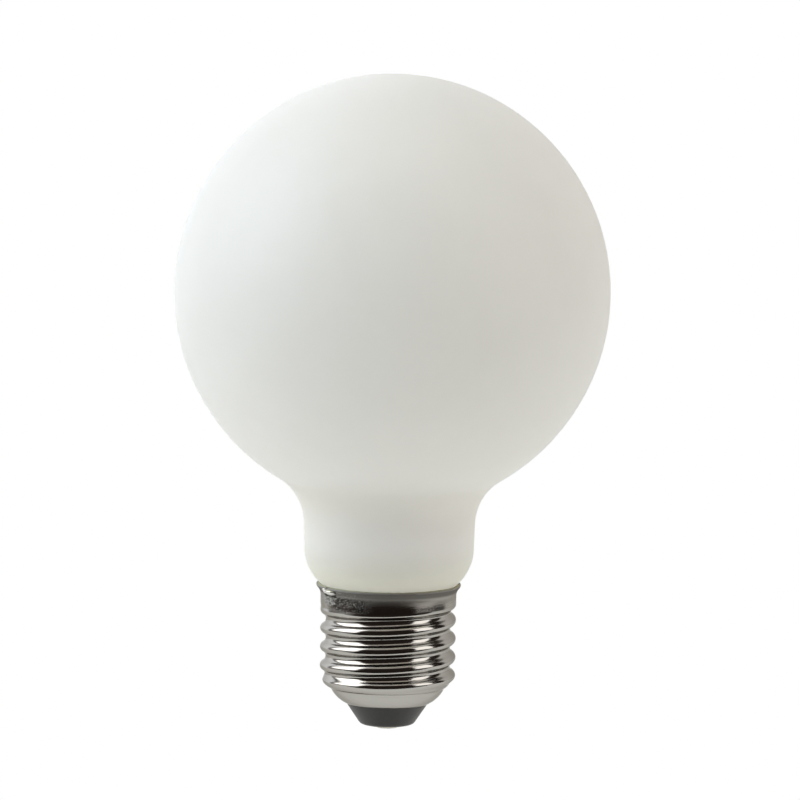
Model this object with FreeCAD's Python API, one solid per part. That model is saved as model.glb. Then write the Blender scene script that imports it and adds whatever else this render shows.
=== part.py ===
"""Globe lamp with an E27 screw cap: a matt opal glass globe cemented into a nickel-plated screw shell.

Units are millimetres. +Z is the lamp's axis, from the centre contact up to the crown of the globe.
The origin is on the axis, on the lowest face of the centre contact's solder.
Angles round the axis are in degrees from +X, anticlockwise seen from above.
"""
import FreeCAD
import Part

import math
import os

# Glass globe and its neck, outside, with the height and the gap measured from the rim of the cap
globe_diameter = 83.6
globe_centre_rise = 56.35
shoulder_radius = 10.6
neck_top_diameter = 32.9
neck_bottom_diameter = 32.62
heel_radius = 9.3
heel_slope = 43.3
heel_rim_gap = 0.505

# Glass seal, the closed end of the neck that stands inside the cap, clear of the cap's foot bend
seal_diameter = 21.6
seal_clearance = 4.9
seal_edge_radius = 2.0

# Screw shell, an E27 cap rolled from sheet
shell_wall = 0.25
thread_diameter = 26.14
thread_depth = 1.08
thread_pitch = 3.629
thread_crest_height = 17.57
thread_top_drop = 3.75
thread_bottom_height = 8.7
thread_runout = 1.7
rim_diameter = 27.8
rim_top_height = 28.05
rim_straight = 0.35
flare_height = 1.0
flare_bend_radius = 0.5
foot_bend_height = 9.1
foot_bend_radius = 2.0
waist_diameter = 21.6
waist_height = 7.2
waist_bend_radius = 0.6
dome_bend_diameter = 19.5
dome_bend_height = 5.45
dome_bend_radius = 5.5
foot_hole_diameter = 15.8
foot_hole_height = 4.62

# Insulator, moulded into the foot of the shell
insulator_top_height = 6.6
insulator_bottom_height = 0.75
insulator_bottom_diameter = 10.2
insulator_edge_radius = 0.6

# Centre contact, a stamped plate with an eyelet, and the solder in it
contact_diameter = 8.0
contact_thickness = 0.3
contact_seat_depth = 0.15
eyelet_diameter = 3.2
eyelet_wall = 0.3
eyelet_top_height = 4.2
solder_dot_diameter = 5.0
solder_dot_flat_diameter = 3.0
solder_dot_bulge = 0.15
solder_fill_height = 2.6

# Cement ring between the glass and the skirt of the shell, from a depth below the rim to above it
cement_depth = 3.65
cement_fillet = 0.2

# Lead wires from the glass to the two contacts
centre_lead_diameter = 0.5
centre_lead_sunk = 0.8
side_lead_diameter = 0.2
side_lead_exit_radius = 4.0
side_lead_drop = 2.0
side_lead_bend_radius = 0.8
side_lead_fold_radius = 0.15
side_lead_fold_inset = 0.05
side_lead_end_drop = 2.45
side_lead_angle = 211.0

# Solder on the flare and the skirt, over the end of the side lead, with drops below the rim
solder_bead_width = 4.4
solder_bead_height = 1.5
solder_bead_drop = 0.9
solder_bead_proud = 0.95
solder_smear_width = 4.7
solder_smear_height = 3.4
solder_smear_drop = 1.75
solder_smear_proud = 0.35

# What pieces that are bonded together or wrapped round each other leave between them
bond_gap = 0.01
wire_gap = 0.02

# How finely the band of the sheet with the rolled thread is drawn
band_columns = 96
band_rows_per_pitch = 12

globe_centre_height = rim_top_height + globe_centre_rise
seal_bottom_height = foot_bend_height + seal_clearance
thread_top_height = rim_top_height - thread_top_drop
cement_bottom_height = rim_top_height - cement_depth
side_lead_end_height = rim_top_height - side_lead_end_drop
globe_radius = globe_diameter / 2
neck_top_radius = neck_top_diameter / 2
neck_bottom_radius = neck_bottom_diameter / 2
seal_radius = seal_diameter / 2
crest_radius = thread_diameter / 2
root_radius = crest_radius - thread_depth
rim_radius = rim_diameter / 2
rim_inside_radius = rim_radius - shell_wall
contact_radius = contact_diameter / 2
eyelet_radius = eyelet_diameter / 2
seat_height = insulator_bottom_height + contact_seat_depth
plate_bottom_height = seat_height - contact_thickness

AXIS_START = FreeCAD.Vector(0, 0, 0)
AXIS = FreeCAD.Vector(0, 0, 1)


def point(radius, height):
    """A point of a section through the axis, in the half plane that holds +X."""
    return FreeCAD.Vector(radius, 0, height)


def on_circle(centre, radius, degrees):
    """The point of a circle in the section at an angle from outwards, positive towards up."""
    turn = math.radians(degrees)
    return point(centre.x + radius * math.cos(turn), centre.z + radius * math.sin(turn))


def line(start, end):
    return Part.LineSegment(start, end).toShape()


def lines(*places):
    return [line(start, end) for start, end in zip(places, places[1:])]


def arc(centre, radius, start_degrees, end_degrees):
    middle_degrees = (start_degrees + end_degrees) / 2
    return Part.Arc(
        on_circle(centre, radius, start_degrees),
        on_circle(centre, radius, middle_degrees),
        on_circle(centre, radius, end_degrees),
    ).toShape()


def direction(start, end):
    return (end - start).normalize()


def inwards(along):
    """The side of a way through the section on which the lamp's inside lies, going down its outside."""
    return point(along.z, -along.x)


def rounded_path(corners):
    """Edges through corners of (point, bend radius), the first and last of which have no bend."""
    edges = []
    start = corners[0][0]
    for (before, _), (corner, radius), (after, _) in zip(corners, corners[1:], corners[2:]):
        into = direction(before, corner)
        out = direction(corner, after)
        half_turn = into.getAngle(out) / 2
        setback = radius * math.tan(half_turn)
        bend_start = corner - into * setback
        bend_end = corner + out * setback
        to_centre = (out - into).normalize()
        bend_middle = corner + to_centre * (radius / math.cos(half_turn) - radius)
        edges.append(line(start, bend_start))
        edges.append(Part.Arc(bend_start, bend_middle, bend_end).toShape())
        start = bend_end
    edges.append(line(start, corners[-1][0]))
    return edges


def offset_corners(corners, depth):
    """The corners of a path that lies inside another one by a depth, with bends to match."""
    moved = []
    for index, (place, radius) in enumerate(corners):
        before = corners[max(index - 1, 0)][0]
        after = corners[min(index + 1, len(corners) - 1)][0]
        into = direction(before, place) if index > 0 else direction(place, after)
        out = direction(place, after) if index < len(corners) - 1 else into
        sides = inwards(into) + inwards(out)
        share = depth / (1 + inwards(into).dot(inwards(out)))
        bends_inwards = out.dot(inwards(into)) > 0
        moved.append((place + sides * share, radius - depth if bends_inwards else radius + depth))
    return moved


def section(edges):
    return Part.Face(Part.Wire(Part.__sortEdges__(edges)))


def turned(flat):
    """The solid that a section sweeps round the axis."""
    solid = flat.revolve(AXIS_START, AXIS, 360).Solids[0]
    return solid if solid.Volume > 0 else solid.reversed()


def turned_faces(edges):
    return Part.Wire(edges).revolve(AXIS_START, AXIS, 360).Faces


def box_section(radius, bottom_height, top_height):
    return section(
        lines(
            point(0, bottom_height),
            point(radius, bottom_height),
            point(radius, top_height),
            point(0, top_height),
            point(0, bottom_height),
        )
    )


class Glass:
    """The outline of the glass, from the crown to the closed end of the seal."""

    def __init__(self):
        self.globe_centre = point(0, globe_centre_height)
        reach = globe_radius + shoulder_radius
        shoulder_across = neck_top_radius + shoulder_radius
        shoulder_drop = math.sqrt(reach**2 - shoulder_across**2)
        self.shoulder_turn = -math.degrees(math.asin(shoulder_drop / reach))
        self.shoulder_centre = point(shoulder_across, globe_centre_height - shoulder_drop)
        self.flank = math.tan(math.radians(heel_slope))
        heel_start = on_circle(point(neck_bottom_radius - heel_radius, 0), heel_radius, -heel_slope)
        heel_end_rise = (heel_start.x - rim_inside_radius + heel_rim_gap) / self.flank
        heel_height = rim_top_height + heel_end_rise - heel_start.z
        self.heel_centre = point(neck_bottom_radius - heel_radius, heel_height)
        self.heel_end = on_circle(self.heel_centre, heel_radius, -heel_slope)
        self.seal_top = point(seal_radius, self.heel_end.z - (self.heel_end.x - seal_radius) / self.flank)

    def radius_at(self, height):
        """The radius of the glass below the heel."""
        return seal_radius + max(height - self.seal_top.z, 0) * self.flank

    def section(self):
        edge_centre = point(seal_radius - seal_edge_radius, seal_bottom_height + seal_edge_radius)
        side_end = point(seal_radius, edge_centre.z)
        bottom_start = point(edge_centre.x, seal_bottom_height)
        bottom_middle = point(0, seal_bottom_height)
        crown = point(0, globe_centre_height + globe_radius)
        return section(
            [
                arc(self.globe_centre, globe_radius, 90, self.shoulder_turn),
                arc(self.shoulder_centre, shoulder_radius, self.shoulder_turn + 180, 180),
                line(
                    point(neck_top_radius, self.shoulder_centre.z),
                    point(neck_bottom_radius, self.heel_centre.z),
                ),
                arc(self.heel_centre, heel_radius, 0, -heel_slope),
                line(self.heel_end, self.seal_top),
                line(self.seal_top, side_end),
                arc(edge_centre, seal_edge_radius, 0, -90),
                line(bottom_start, bottom_middle),
                line(bottom_middle, crown),
            ]
        )


class Shell:
    """The sheet of the cap, drawn as its outside and what lies at a depth below it.

    The rim with its flare and the foot are turned. The band between them has the rolled thread.
    """

    def __init__(self):
        flare_top = rim_top_height - rim_straight
        self.foot_bend = (point(crest_radius, foot_bend_height), foot_bend_radius)
        self.above_band = [
            (point(rim_radius, rim_top_height), 0),
            (point(rim_radius, flare_top), flare_bend_radius),
            (point(crest_radius, flare_top - flare_height), flare_bend_radius),
        ]
        self.below_band = [
            (point(waist_diameter / 2, waist_height), waist_bend_radius),
            (point(dome_bend_diameter / 2, dome_bend_height), dome_bend_radius),
            (point(foot_hole_diameter / 2, foot_hole_height), 0),
        ]
        self.corners = [*self.above_band, self.foot_bend, *self.below_band]

    def corners_at(self, depth):
        return offset_corners(self.corners, depth)

    def room(self, depth):
        """The section of all that the sheet encloses at a depth, with no thread in it."""
        corners = self.corners_at(depth)
        first = corners[0][0]
        last = corners[-1][0]
        return section(rounded_path(corners) + lines(last, point(0, last.z), point(0, first.z), first))

    def band_ends(self, depth):
        """Where the band starts on the skirt, and where it ends half-way down the cone of the foot."""
        skirt = point(crest_radius - depth, thread_top_height)
        cone_top = self.foot_bend[0]
        cone_bottom = self.below_band[0][0]
        return skirt, (cone_top + cone_bottom) * 0.5 + inwards(direction(cone_top, cone_bottom)) * depth

    def stations(self):
        """Places down the outside of the band, with the way inwards at each."""
        start, end = self.band_ends(0)
        step = thread_pitch / band_rows_per_pitch
        found = []
        for edge in rounded_path([(start, 0), self.foot_bend, (end, 0)]):
            rows = math.ceil(edge.Length / step)
            for row in range(rows):
                parameter = edge.getParameterByLength(edge.Length * row / rows)
                found.append((edge.valueAt(parameter), inwards(edge.tangentAt(parameter))))
        found.append((edge.valueAt(edge.LastParameter), inwards(edge.tangentAt(edge.LastParameter))))
        return found

    def groove(self, from_crest, depth):
        """How far the thread lies below its crests, at a distance along the axis from a crest.

        On the outside the crest and the root are arcs of one radius, which meet in a tangent.
        """
        half = thread_pitch / 2
        round_radius = (half**2 + thread_depth**2) / (4 * thread_depth)
        crest_arc = round_radius - depth
        root_arc = round_radius + depth
        if from_crest <= half * crest_arc / (2 * round_radius):
            return crest_arc - math.sqrt(crest_arc**2 - from_crest**2)
        return thread_depth - root_arc + math.sqrt(root_arc**2 - (half - from_crest) ** 2)

    def thread_at(self, degrees, height, depth):
        """The right-hand thread, which fades out towards the skirt and round the foot bend."""
        crest = thread_crest_height + thread_pitch * degrees / 360
        turns = (height - crest) / thread_pitch
        from_crest = abs(turns - round(turns)) * thread_pitch
        fade = smooth_step((thread_top_height - height) / thread_runout)
        fade *= smooth_step((height - thread_bottom_height) / thread_runout)
        return fade * self.groove(from_crest, depth)

    def band(self, depth):
        """One side of the band as a smooth face through rings of points, closed round the axis."""
        stations = self.stations()
        parameters = [0.0]
        for (place, _), (after, _) in zip(stations, stations[1:]):
            parameters.append(parameters[-1] + place.distanceToPoint(after))
        columns = []
        for column in range(band_columns):
            degrees = 360 * column / band_columns
            turn = math.radians(degrees)
            places = []
            for place, inside in stations:
                at = place + inside * (depth + self.thread_at(degrees, place.z, depth))
                places.append(FreeCAD.Vector(at.x * math.cos(turn), at.x * math.sin(turn), at.z))
            curve = Part.BSplineCurve()
            curve.interpolate(Points=places, Parameters=parameters)
            columns.append(curve)
        rings = []
        for poles in zip(*[curve.getPoles() for curve in columns]):
            ring = Part.BSplineCurve()
            steps = [float(step) for step in range(band_columns + 1)]
            ring.interpolate(Points=list(poles), PeriodicFlag=True, Parameters=steps)
            rings.append(ring)
        surface = Part.BSplineSurface()
        surface.buildFromPolesMultsKnots(
            [list(poles) for poles in zip(*[ring.getPoles() for ring in rings])],
            rings[0].getMultiplicities(),
            columns[0].getMultiplicities(),
            rings[0].getKnots(),
            columns[0].getKnots(),
            True,
            False,
            rings[0].Degree,
            columns[0].Degree,
        )
        return surface.toShape()

    def side(self, depth):
        """The faces of one side of the sheet, from the rim to the foot hole."""
        corners = self.corners_at(depth)
        band_start, band_end = self.band_ends(depth)
        rim = rounded_path(corners[: len(self.above_band)] + [(band_start, 0)])
        foot = rounded_path([(band_end, 0)] + corners[-len(self.below_band) :])
        return [*turned_faces(rim), self.band(depth), *turned_faces(foot)]

    def solid(self):
        outside = self.corners
        inside = self.corners_at(shell_wall)
        cut_edges = lines(outside[0][0], inside[0][0]) + lines(outside[-1][0], inside[-1][0])
        faces = self.side(0) + self.side(shell_wall)
        for cut_edge in cut_edges:
            faces += turned_faces([cut_edge])
        sheet = Part.makeCompound(faces)
        sheet.sewShape()
        solid = Part.Solid(sheet)
        return solid if solid.Volume > 0 else solid.reversed()


def smooth_step(share):
    share = min(max(share, 0.0), 1.0)
    return share * share * (3 - 2 * share)


def placed(shape):
    """A shape of the section plane, turned to the side where the lead comes out."""
    return shape.rotated(AXIS_START, AXIS, side_lead_angle)


def wire_along(edges, diameter):
    path = Part.Wire(edges)
    start = path.Edges[0]
    ring = Part.makeCircle(diameter / 2, start.valueAt(0), start.tangentAt(0))
    return path.makePipeShell([Part.Wire(ring)], True, True)


def side_lead_corners(glass, shell):
    """Down out of the seal, up between the glass and the thread, and over the rim to the skirt."""
    radius = side_lead_diameter / 2
    beside_seal = (seal_radius + root_radius - shell_wall) / 2
    exit_top = point(side_lead_exit_radius, seal_bottom_height)
    exit_bottom = point(side_lead_exit_radius, seal_bottom_height - side_lead_drop)
    outside = offset_corners(shell.corners, -(radius + wire_gap))
    over_rim = rim_top_height + radius + wire_gap
    fold_start = point(rim_inside_radius - side_lead_fold_inset, over_rim)
    climb_start = fold_start.z - (fold_start.x - beside_seal) / glass.flank
    return [
        (exit_top, 0),
        (exit_bottom, side_lead_bend_radius),
        (point(beside_seal, exit_bottom.z), side_lead_bend_radius),
        (point(beside_seal, climb_start), side_lead_bend_radius),
        (fold_start, side_lead_fold_radius),
        (point(outside[1][0].x, over_rim), side_lead_fold_radius),
        outside[1],
        outside[2],
        (point(outside[2][0].x, side_lead_end_height), 0),
    ]


def make_glass_globe(glass):
    return turned(glass.section())


def make_screw_shell(shell):
    return shell.solid()


def make_side_lead(glass, shell):
    return placed(wire_along(rounded_path(side_lead_corners(glass, shell)), side_lead_diameter))


def make_basing_cement(glass, shell, side_lead):
    """The ring fills what the glass leaves of the skirt, with a low fillet above the rim."""
    inside = shell.corners_at(shell_wall + bond_gap)[0][0]
    fillet_top = rim_top_height + cement_fillet
    fillet = section(
        lines(
            point(0, inside.z),
            inside,
            point(glass.radius_at(fillet_top), fillet_top),
            point(0, fillet_top),
            point(0, inside.z),
        )
    )
    skirt = shell.room(shell_wall + bond_gap).common(
        box_section(rim_radius, cement_bottom_height, rim_top_height)
    )
    ring = skirt.fuse(fillet).cut(glass.section())
    return turned(ring.removeSplitter().Faces[0]).cut(side_lead)


def make_insulator(shell):
    """A cone below the shell's foot, and a plug that fills the dome above it, bored for the eyelet."""
    hole_edge = shell.corners_at(shell_wall + bond_gap)[-1][0]
    plug = shell.room(shell_wall + bond_gap).common(
        box_section(crest_radius, hole_edge.z, insulator_top_height)
    )
    foot_corner = point(insulator_bottom_diameter / 2, insulator_bottom_height)
    foot_top = point(0, hole_edge.z)
    foot_bottom = point(0, insulator_bottom_height)
    flank = rounded_path([(hole_edge, 0), (foot_corner, insulator_edge_radius), (foot_bottom, 0)])
    foot = section(flank + lines(foot_bottom, foot_top, hole_edge))
    seat = box_section(contact_radius, insulator_bottom_height, seat_height)
    bore = box_section(eyelet_radius, insulator_bottom_height, insulator_top_height)
    return turned(plug).fuse(turned(foot)).cut(turned(seat.fuse(bore).removeSplitter())).removeSplitter()


def make_centre_contact():
    bore_radius = eyelet_radius - eyelet_wall
    return turned(
        section(
            lines(
                point(bore_radius, plate_bottom_height),
                point(contact_radius, plate_bottom_height),
                point(contact_radius, seat_height),
                point(eyelet_radius, seat_height),
                point(eyelet_radius, eyelet_top_height),
                point(bore_radius, eyelet_top_height),
                point(bore_radius, plate_bottom_height),
            )
        )
    )


def make_centre_lead():
    """A straight wire from the seal into the solder of the centre contact."""
    bottom = solder_fill_height - centre_lead_sunk
    return Part.makeCylinder(
        centre_lead_diameter / 2, seal_bottom_height - bottom, point(0, bottom), AXIS
    )


def make_centre_solder(centre_lead):
    """A flattened dot under the plate, which fills the eyelet round the wire."""
    bore_radius = eyelet_radius - eyelet_wall
    flat = point(solder_dot_flat_diameter / 2, 0)
    rim = point(solder_dot_diameter / 2, plate_bottom_height)
    bulge = (flat + rim) * 0.5 - inwards(direction(rim, flat)) * solder_dot_bulge
    dot = section(
        lines(
            rim,
            point(bore_radius, plate_bottom_height),
            point(bore_radius, solder_fill_height),
            point(0, solder_fill_height),
            point(0, 0),
            flat,
        )
        + [Part.Arc(flat, bulge, rim).toShape()]
    )
    return turned(dot).cut(centre_lead)


def solder_lump(width, height, drop, proud):
    """A lens of solder, half sunk in the face of the shell."""
    lump = Part.makeSphere(1, AXIS_START, AXIS)
    stretch = FreeCAD.Matrix()
    stretch.scale(proud, width / 2, height / 2)
    lump = lump.transformGeometry(stretch)
    lump.translate(point(crest_radius, rim_top_height - drop))
    return placed(lump)


def make_side_solder(shell, side_lead):
    """A bead under the rim and a flatter smear below it, over the end of the wire."""
    bead = solder_lump(solder_bead_width, solder_bead_height, solder_bead_drop, solder_bead_proud)
    smear = solder_lump(solder_smear_width, solder_smear_height, solder_smear_drop, solder_smear_proud)
    covered = turned(shell.room(-bond_gap))
    return bead.fuse(smear).cut(covered).cut(side_lead)


def make_parts():
    glass = Glass()
    shell = Shell()
    side_lead = make_side_lead(glass, shell)
    centre_lead = make_centre_lead()
    return {
        "glass_globe": make_glass_globe(glass),
        "basing_cement": make_basing_cement(glass, shell, side_lead),
        "screw_shell": make_screw_shell(shell),
        "side_lead": side_lead,
        "side_solder": make_side_solder(shell, side_lead),
        "insulator": make_insulator(shell),
        "centre_contact": make_centre_contact(),
        "centre_lead": centre_lead,
        "centre_solder": make_centre_solder(centre_lead),
    }


if __name__ == "__main__":
    os.makedirs("parts", exist_ok=True)
    for name, shape in make_parts().items():
        shape.exportStep(f"parts/{name}.step")
        print(name, shape.isValid(), len(shape.Solids), round(shape.Volume, 3))
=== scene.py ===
"""Dresses the globe lamp: matt opal glass, a rolled and nickel-plated screw shell, solder and insulator.

Lengths are in metres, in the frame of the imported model: +Z runs from the centre contact up to the crown.
"""

import math

import bmesh
import bpy
from bpy.props import FloatProperty, FloatVectorProperty, IntProperty, PointerProperty
from mathutils import Matrix, Vector, noise


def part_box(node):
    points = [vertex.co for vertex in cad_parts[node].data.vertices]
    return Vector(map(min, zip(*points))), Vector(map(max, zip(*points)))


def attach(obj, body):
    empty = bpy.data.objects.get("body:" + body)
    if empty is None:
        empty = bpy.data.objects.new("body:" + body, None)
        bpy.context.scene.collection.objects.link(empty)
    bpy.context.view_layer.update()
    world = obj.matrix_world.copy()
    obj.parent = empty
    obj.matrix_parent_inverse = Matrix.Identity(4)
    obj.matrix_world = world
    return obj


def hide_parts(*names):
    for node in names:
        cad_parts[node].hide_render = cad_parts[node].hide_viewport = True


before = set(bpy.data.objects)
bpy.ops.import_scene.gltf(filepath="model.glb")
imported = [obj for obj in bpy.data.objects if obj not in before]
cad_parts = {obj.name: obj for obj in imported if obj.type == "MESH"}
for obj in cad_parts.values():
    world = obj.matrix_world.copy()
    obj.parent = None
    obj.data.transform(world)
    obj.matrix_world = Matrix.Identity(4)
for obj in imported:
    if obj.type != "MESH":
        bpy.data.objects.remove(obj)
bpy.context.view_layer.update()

bl_info = {
    "name": "Globe lamp",
    "version": (1, 0, 0),
    "blender": (4, 5, 0),
    "location": "3D View > Sidebar > Lamp",
    "description": "Builds the visible pieces of a globe lamp and the studio round it",
    "category": "Add Mesh",
}

BODY = "root"

glass_low, glass_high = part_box("glass_globe")
insulator_low, insulator_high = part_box("insulator")
shell_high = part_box("screw_shell")[1]
contact_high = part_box("centre_contact")[1]
dot_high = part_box("centre_solder")[1]
cement_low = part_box("basing_cement")[0]

# Look of the opal glass
GLASS_ROUGHNESS = 0.48
GLASS_SCATTER_REACH = 0.5
CLOUD_DARKNESS = 0.985
HEEL_TINT_RISE = 0.0035
HEEL_TINT_FULL = 0.0285
# Painted shade on the neck, where the globe shades it: where it starts, and how much less the neck scatters
# than the globe, more in its upper part
NECK_STARTS = (0.0515, 0.0455)
UPPER_NECK_STARTS = (0.034, 0.043)
NECK_PAINTED_SHADE = 0.13
UPPER_NECK_PAINTED_SHADE = 0.14

# Look of the plating, with heights from the thread's top and then from the foot of the flare
ROLLED_STRETCH = (40.0, 40.0, 5000.0)
SKIRT_STARTS = (-0.0008, -0.0001)
HAZE_STARTS = (0.0004, 0.0019)
FLARE_STARTS = (-0.0002, 0.0003)
UNDER_FLARE_STARTS = (0.0001, -0.0006)
# How far the flare is darkened towards the stain's colour
FLARE_DARKENING = 0.55
PITTED_EVERYWHERE = 0.05
STAIN_ON_FLARE = 0.3
STAIN_DROP = 0.001
NICKEL_EDGE_TINT = (0.55, 0.54, 0.52, 1.0)

# Look of the side solder, with heights from where the bright bead ends
BURNT_STARTS = (0.0, -0.00015)
# Painted shade right under the bright bead, in the stain's colour
UNDER_BEAD_SHADE_STARTS = (-0.0006, -0.0004)

# Basing cement: how it meets the sheet and the glass
CEMENT_INSET_IN_WALLS = 1.1
CEMENT_BEND = 0.00008
CEMENT_RIM_DROP = 0.0001
CEMENT_GLASS_GAP = 0.00004
CEMENT_UNEVENNESS = 0.00005
CEMENT_GRAIN = 2500

# Insulator: the seat of the contact, the moulded ring round it and the plug inside the cap
SEAT_CLEARANCE = 0.00004
SEAT_EDGE = 0.00004
MARK_HALF_WIDTH = 0.00012
MARK_DEPTH = 0.0001
MARK_BEND = 0.00006
LEDGE_EDGE = 0.00005
PLUG_EDGE = 0.0001
PLUG_SPREAD = 0.0013

# Centre solder: its drop, as shares of a round one and of its height, and the uneven face
DOT_ROUNDNESS = 0.9
DOT_UNEVEN_BELOW = 0.98
DOT_UNEVENNESS = 0.00006
DOT_GRAIN = 900

# Side solder: how deep it sits, and how its edge and its crust wander
SOLDER_SUNK_IN_WALLS = 0.7
SOLDER_GRID = (110, 90)
SOLDER_EDGE_GRAIN = 1300
SOLDER_EDGE_WANDER = 0.35
SOLDER_EDGE_STEEPNESS = 2
SOLDER_HIDDEN = -0.00008
CRUST_GRAIN = 4500
CRUST_MEAN = 0.6
CRUST_UNEVENNESS = 0.8

# Dimension, lacunarity and octaves of the fractal noise
FRACTAL = (1.0, 2.0, 3)

# Studio
PICTURE_PIXELS = 800
SENSOR_MILLIMETRES = 36.0
VIEW_DEPTH = 20.0
ROOM_LIGHT = (0.022, 0.016, 0.013)
WHITE = (1.0, 1.0, 1.0, 1.0)


def length(name, description, default):
    return FloatProperty(
        name=name, description=description, default=default, min=0.0, unit="LENGTH", precision=5
    )


def angle(name, description, degrees):
    return FloatProperty(
        name=name, description=description, default=math.radians(degrees), subtype="ANGLE"
    )


def number(name, description, default):
    return FloatProperty(name=name, description=description, default=default, min=0.0)


def steps(name, default):
    return IntProperty(name=name, description="Steps in a full turn", default=default, min=12)


def colour(name, description, default):
    return FloatVectorProperty(
        name=name, description=description, default=default, size=3, min=0.0, max=1.0, subtype="COLOR"
    )


class GlassSizes(bpy.types.PropertyGroup):
    """The glass envelope"""

    globe_radius: length("Globe radius", "Outside radius of the globe", (glass_high.x - glass_low.x) / 2)
    crown_height: length("Crown height", "Height of the top of the globe", glass_high.z)
    shoulder_radius: length("Shoulder radius", "Hollow round between globe and neck", 0.0106)
    neck_top_radius: length("Neck top radius", "Radius of the neck under the shoulder", 0.01645)
    neck_bottom_radius: length("Neck bottom radius", "Radius of the neck above the heel", 0.01631)
    heel_height: length("Heel height", "Height at which the neck starts to draw in", 0.0351)
    heel_radius: length("Heel radius", "Round of the heel towards the cap", 0.0093)
    heel_slope: angle("Heel slope", "How far the heel turns in from upright", 43.3)
    seal_radius: length("Seal radius", "Radius of the part inside the cap", 0.0108)
    seal_height: length("Seal height", "Height of the closed end inside the cap", glass_low.z)
    tint: colour("Glass", "Body colour of the opal glass", (0.92, 0.87, 0.7))
    # Makes the glass yellower towards the heel, just above the cap
    heel_tint: colour("Heel", "Where the cement shows through the glass", (0.81, 0.76, 0.36))


class CapSizes(bpy.types.PropertyGroup):
    """The screw shell"""

    skirt_radius: length("Skirt radius", "Outside of the skirt and of the thread's crests", 0.01307)
    wall: length("Wall", "Thickness of the sheet", 0.00025)
    rim_radius: length("Rim radius", "Outside of the flared rim", 0.0139)
    rim_height: length("Rim height", "Top of the rim", shell_high.z)
    rim_straight: length("Rim straight", "Upright part of the rim", 0.00035)
    flare_height: length("Flare height", "Height over which the rim flares", 0.001)
    flare_bend: length("Flare bend", "Bend radius from the flare to the rim", 0.0005)
    flare_foot_bend: length("Flare foot bend", "Bend radius from the skirt to the flare", 0.0022)
    foot_height: length("Foot height", "Where the lines of the skirt and foot cone meet", 0.00885)
    foot_bend: length("Foot bend", "Bend radius from the skirt to the foot", 0.003)
    waist_radius: length("Waist radius", "Radius at the waist in the foot", 0.01105)
    waist_height: length("Waist height", "Height of the waist", 0.00788)
    waist_bend: length("Waist bend", "Bend radius of the waist", 0.0007)
    dome_corner_radius: length("Dome corner radius", "Where the dome's tangents meet", 0.009665)
    dome_corner_height: length("Dome corner height", "Where the dome's tangents meet", 0.00565)
    dome_bend: length("Dome bend", "Round of the dome", 0.0062)
    hole_radius: length("Hole radius", "Foot hole, round the insulator", 0.0079)
    hole_height: length("Hole height", "Height of the foot hole", 0.00487)
    thread_depth: length("Thread depth", "From crest to root", 0.00108)
    thread_pitch: length("Thread pitch", "Rise in one turn", 0.003629)
    thread_crest: length("Thread crest", "Height of a crest on the +X side", 0.01757)
    thread_top: length("Thread top", "Where the thread has faded into the skirt", 0.0243)
    thread_bottom: length("Thread bottom", "Where the thread has faded into the foot", 0.0070)
    thread_runout: length("Thread run-out", "Height over which the thread fades at its top", 0.0017)
    thread_fade: length("Thread fade", "Height over which the thread fades into the foot", 0.0045)
    nickel: colour("Nickel", "Plating of the cap", (0.5, 0.49, 0.475))
    dull_nickel: colour("Dull nickel", "Plating of the skirt", (0.36, 0.345, 0.325))

    @property
    def flare_top(self):
        return self.rim_height - self.rim_straight

    @property
    def flare_bottom(self):
        return self.flare_top - self.flare_height


class CementSizes(bpy.types.PropertyGroup):
    """The ring of cement between the glass and the cap"""

    bottom: length("Bottom", "Height of the cement's lower end", cement_low.z)
    rise: length("Rise", "How far above the rim the cement climbs up the glass", 0.00018)
    dark: colour("Dark paste", "The darker grains", (0.45, 0.43, 0.29))
    pale: colour("Pale paste", "The paler grains", (0.62, 0.6, 0.45))


class FootSizes(bpy.types.PropertyGroup):
    """The insulator and the centre contact with its solder"""

    shoulder: length("Shoulder", "Radius of the insulator at the foot hole", 0.00786)
    radius: length("Radius", "Radius at the bottom of the insulator", 0.0051)
    bottom: length("Bottom", "Height of the insulator's bottom face", insulator_low.z)
    top: length("Top", "Height of the insulator's top inside the cap", insulator_high.z)
    edge: length("Edge", "Round of the insulator's bottom edge", 0.0013)
    contact_radius: length("Contact radius", "Radius of the contact plate", contact_high.x)
    contact_thickness: length("Contact thickness", "Thickness of the contact plate", 0.0003)
    contact_edge: length("Contact edge", "Round of the contact plate's edge", 0.00012)
    eyelet_radius: length("Eyelet radius", "Outside of the eyelet", 0.0016)
    eyelet_wall: length("Eyelet wall", "Wall of the eyelet", 0.0003)
    eyelet_top: length("Eyelet top", "Height of the eyelet's end", contact_high.z)
    dot_radius: length("Solder radius", "Radius of the centre solder", dot_high.x)
    dot_flat: length("Solder flat", "Radius of the flat under the centre solder", 0.0015)
    dot_top: length("Solder top", "Height of the solder in the eyelet", dot_high.z)
    black: colour("Insulator", "Moulded insulator", (0.034, 0.034, 0.036))
    brass: colour("Contact", "Contact plate and eyelet", (0.7, 0.6, 0.38))
    solder: colour("Solder", "Solder on the centre contact", (0.6, 0.6, 0.6))
    wire: colour("Wire", "Ends of the two lead wires", (0.5, 0.48, 0.45))

    @property
    def seat(self):
        """Height of the seat, into which the contact plate is sunk by half its thickness."""
        return self.bottom + self.contact_thickness / 2


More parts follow.
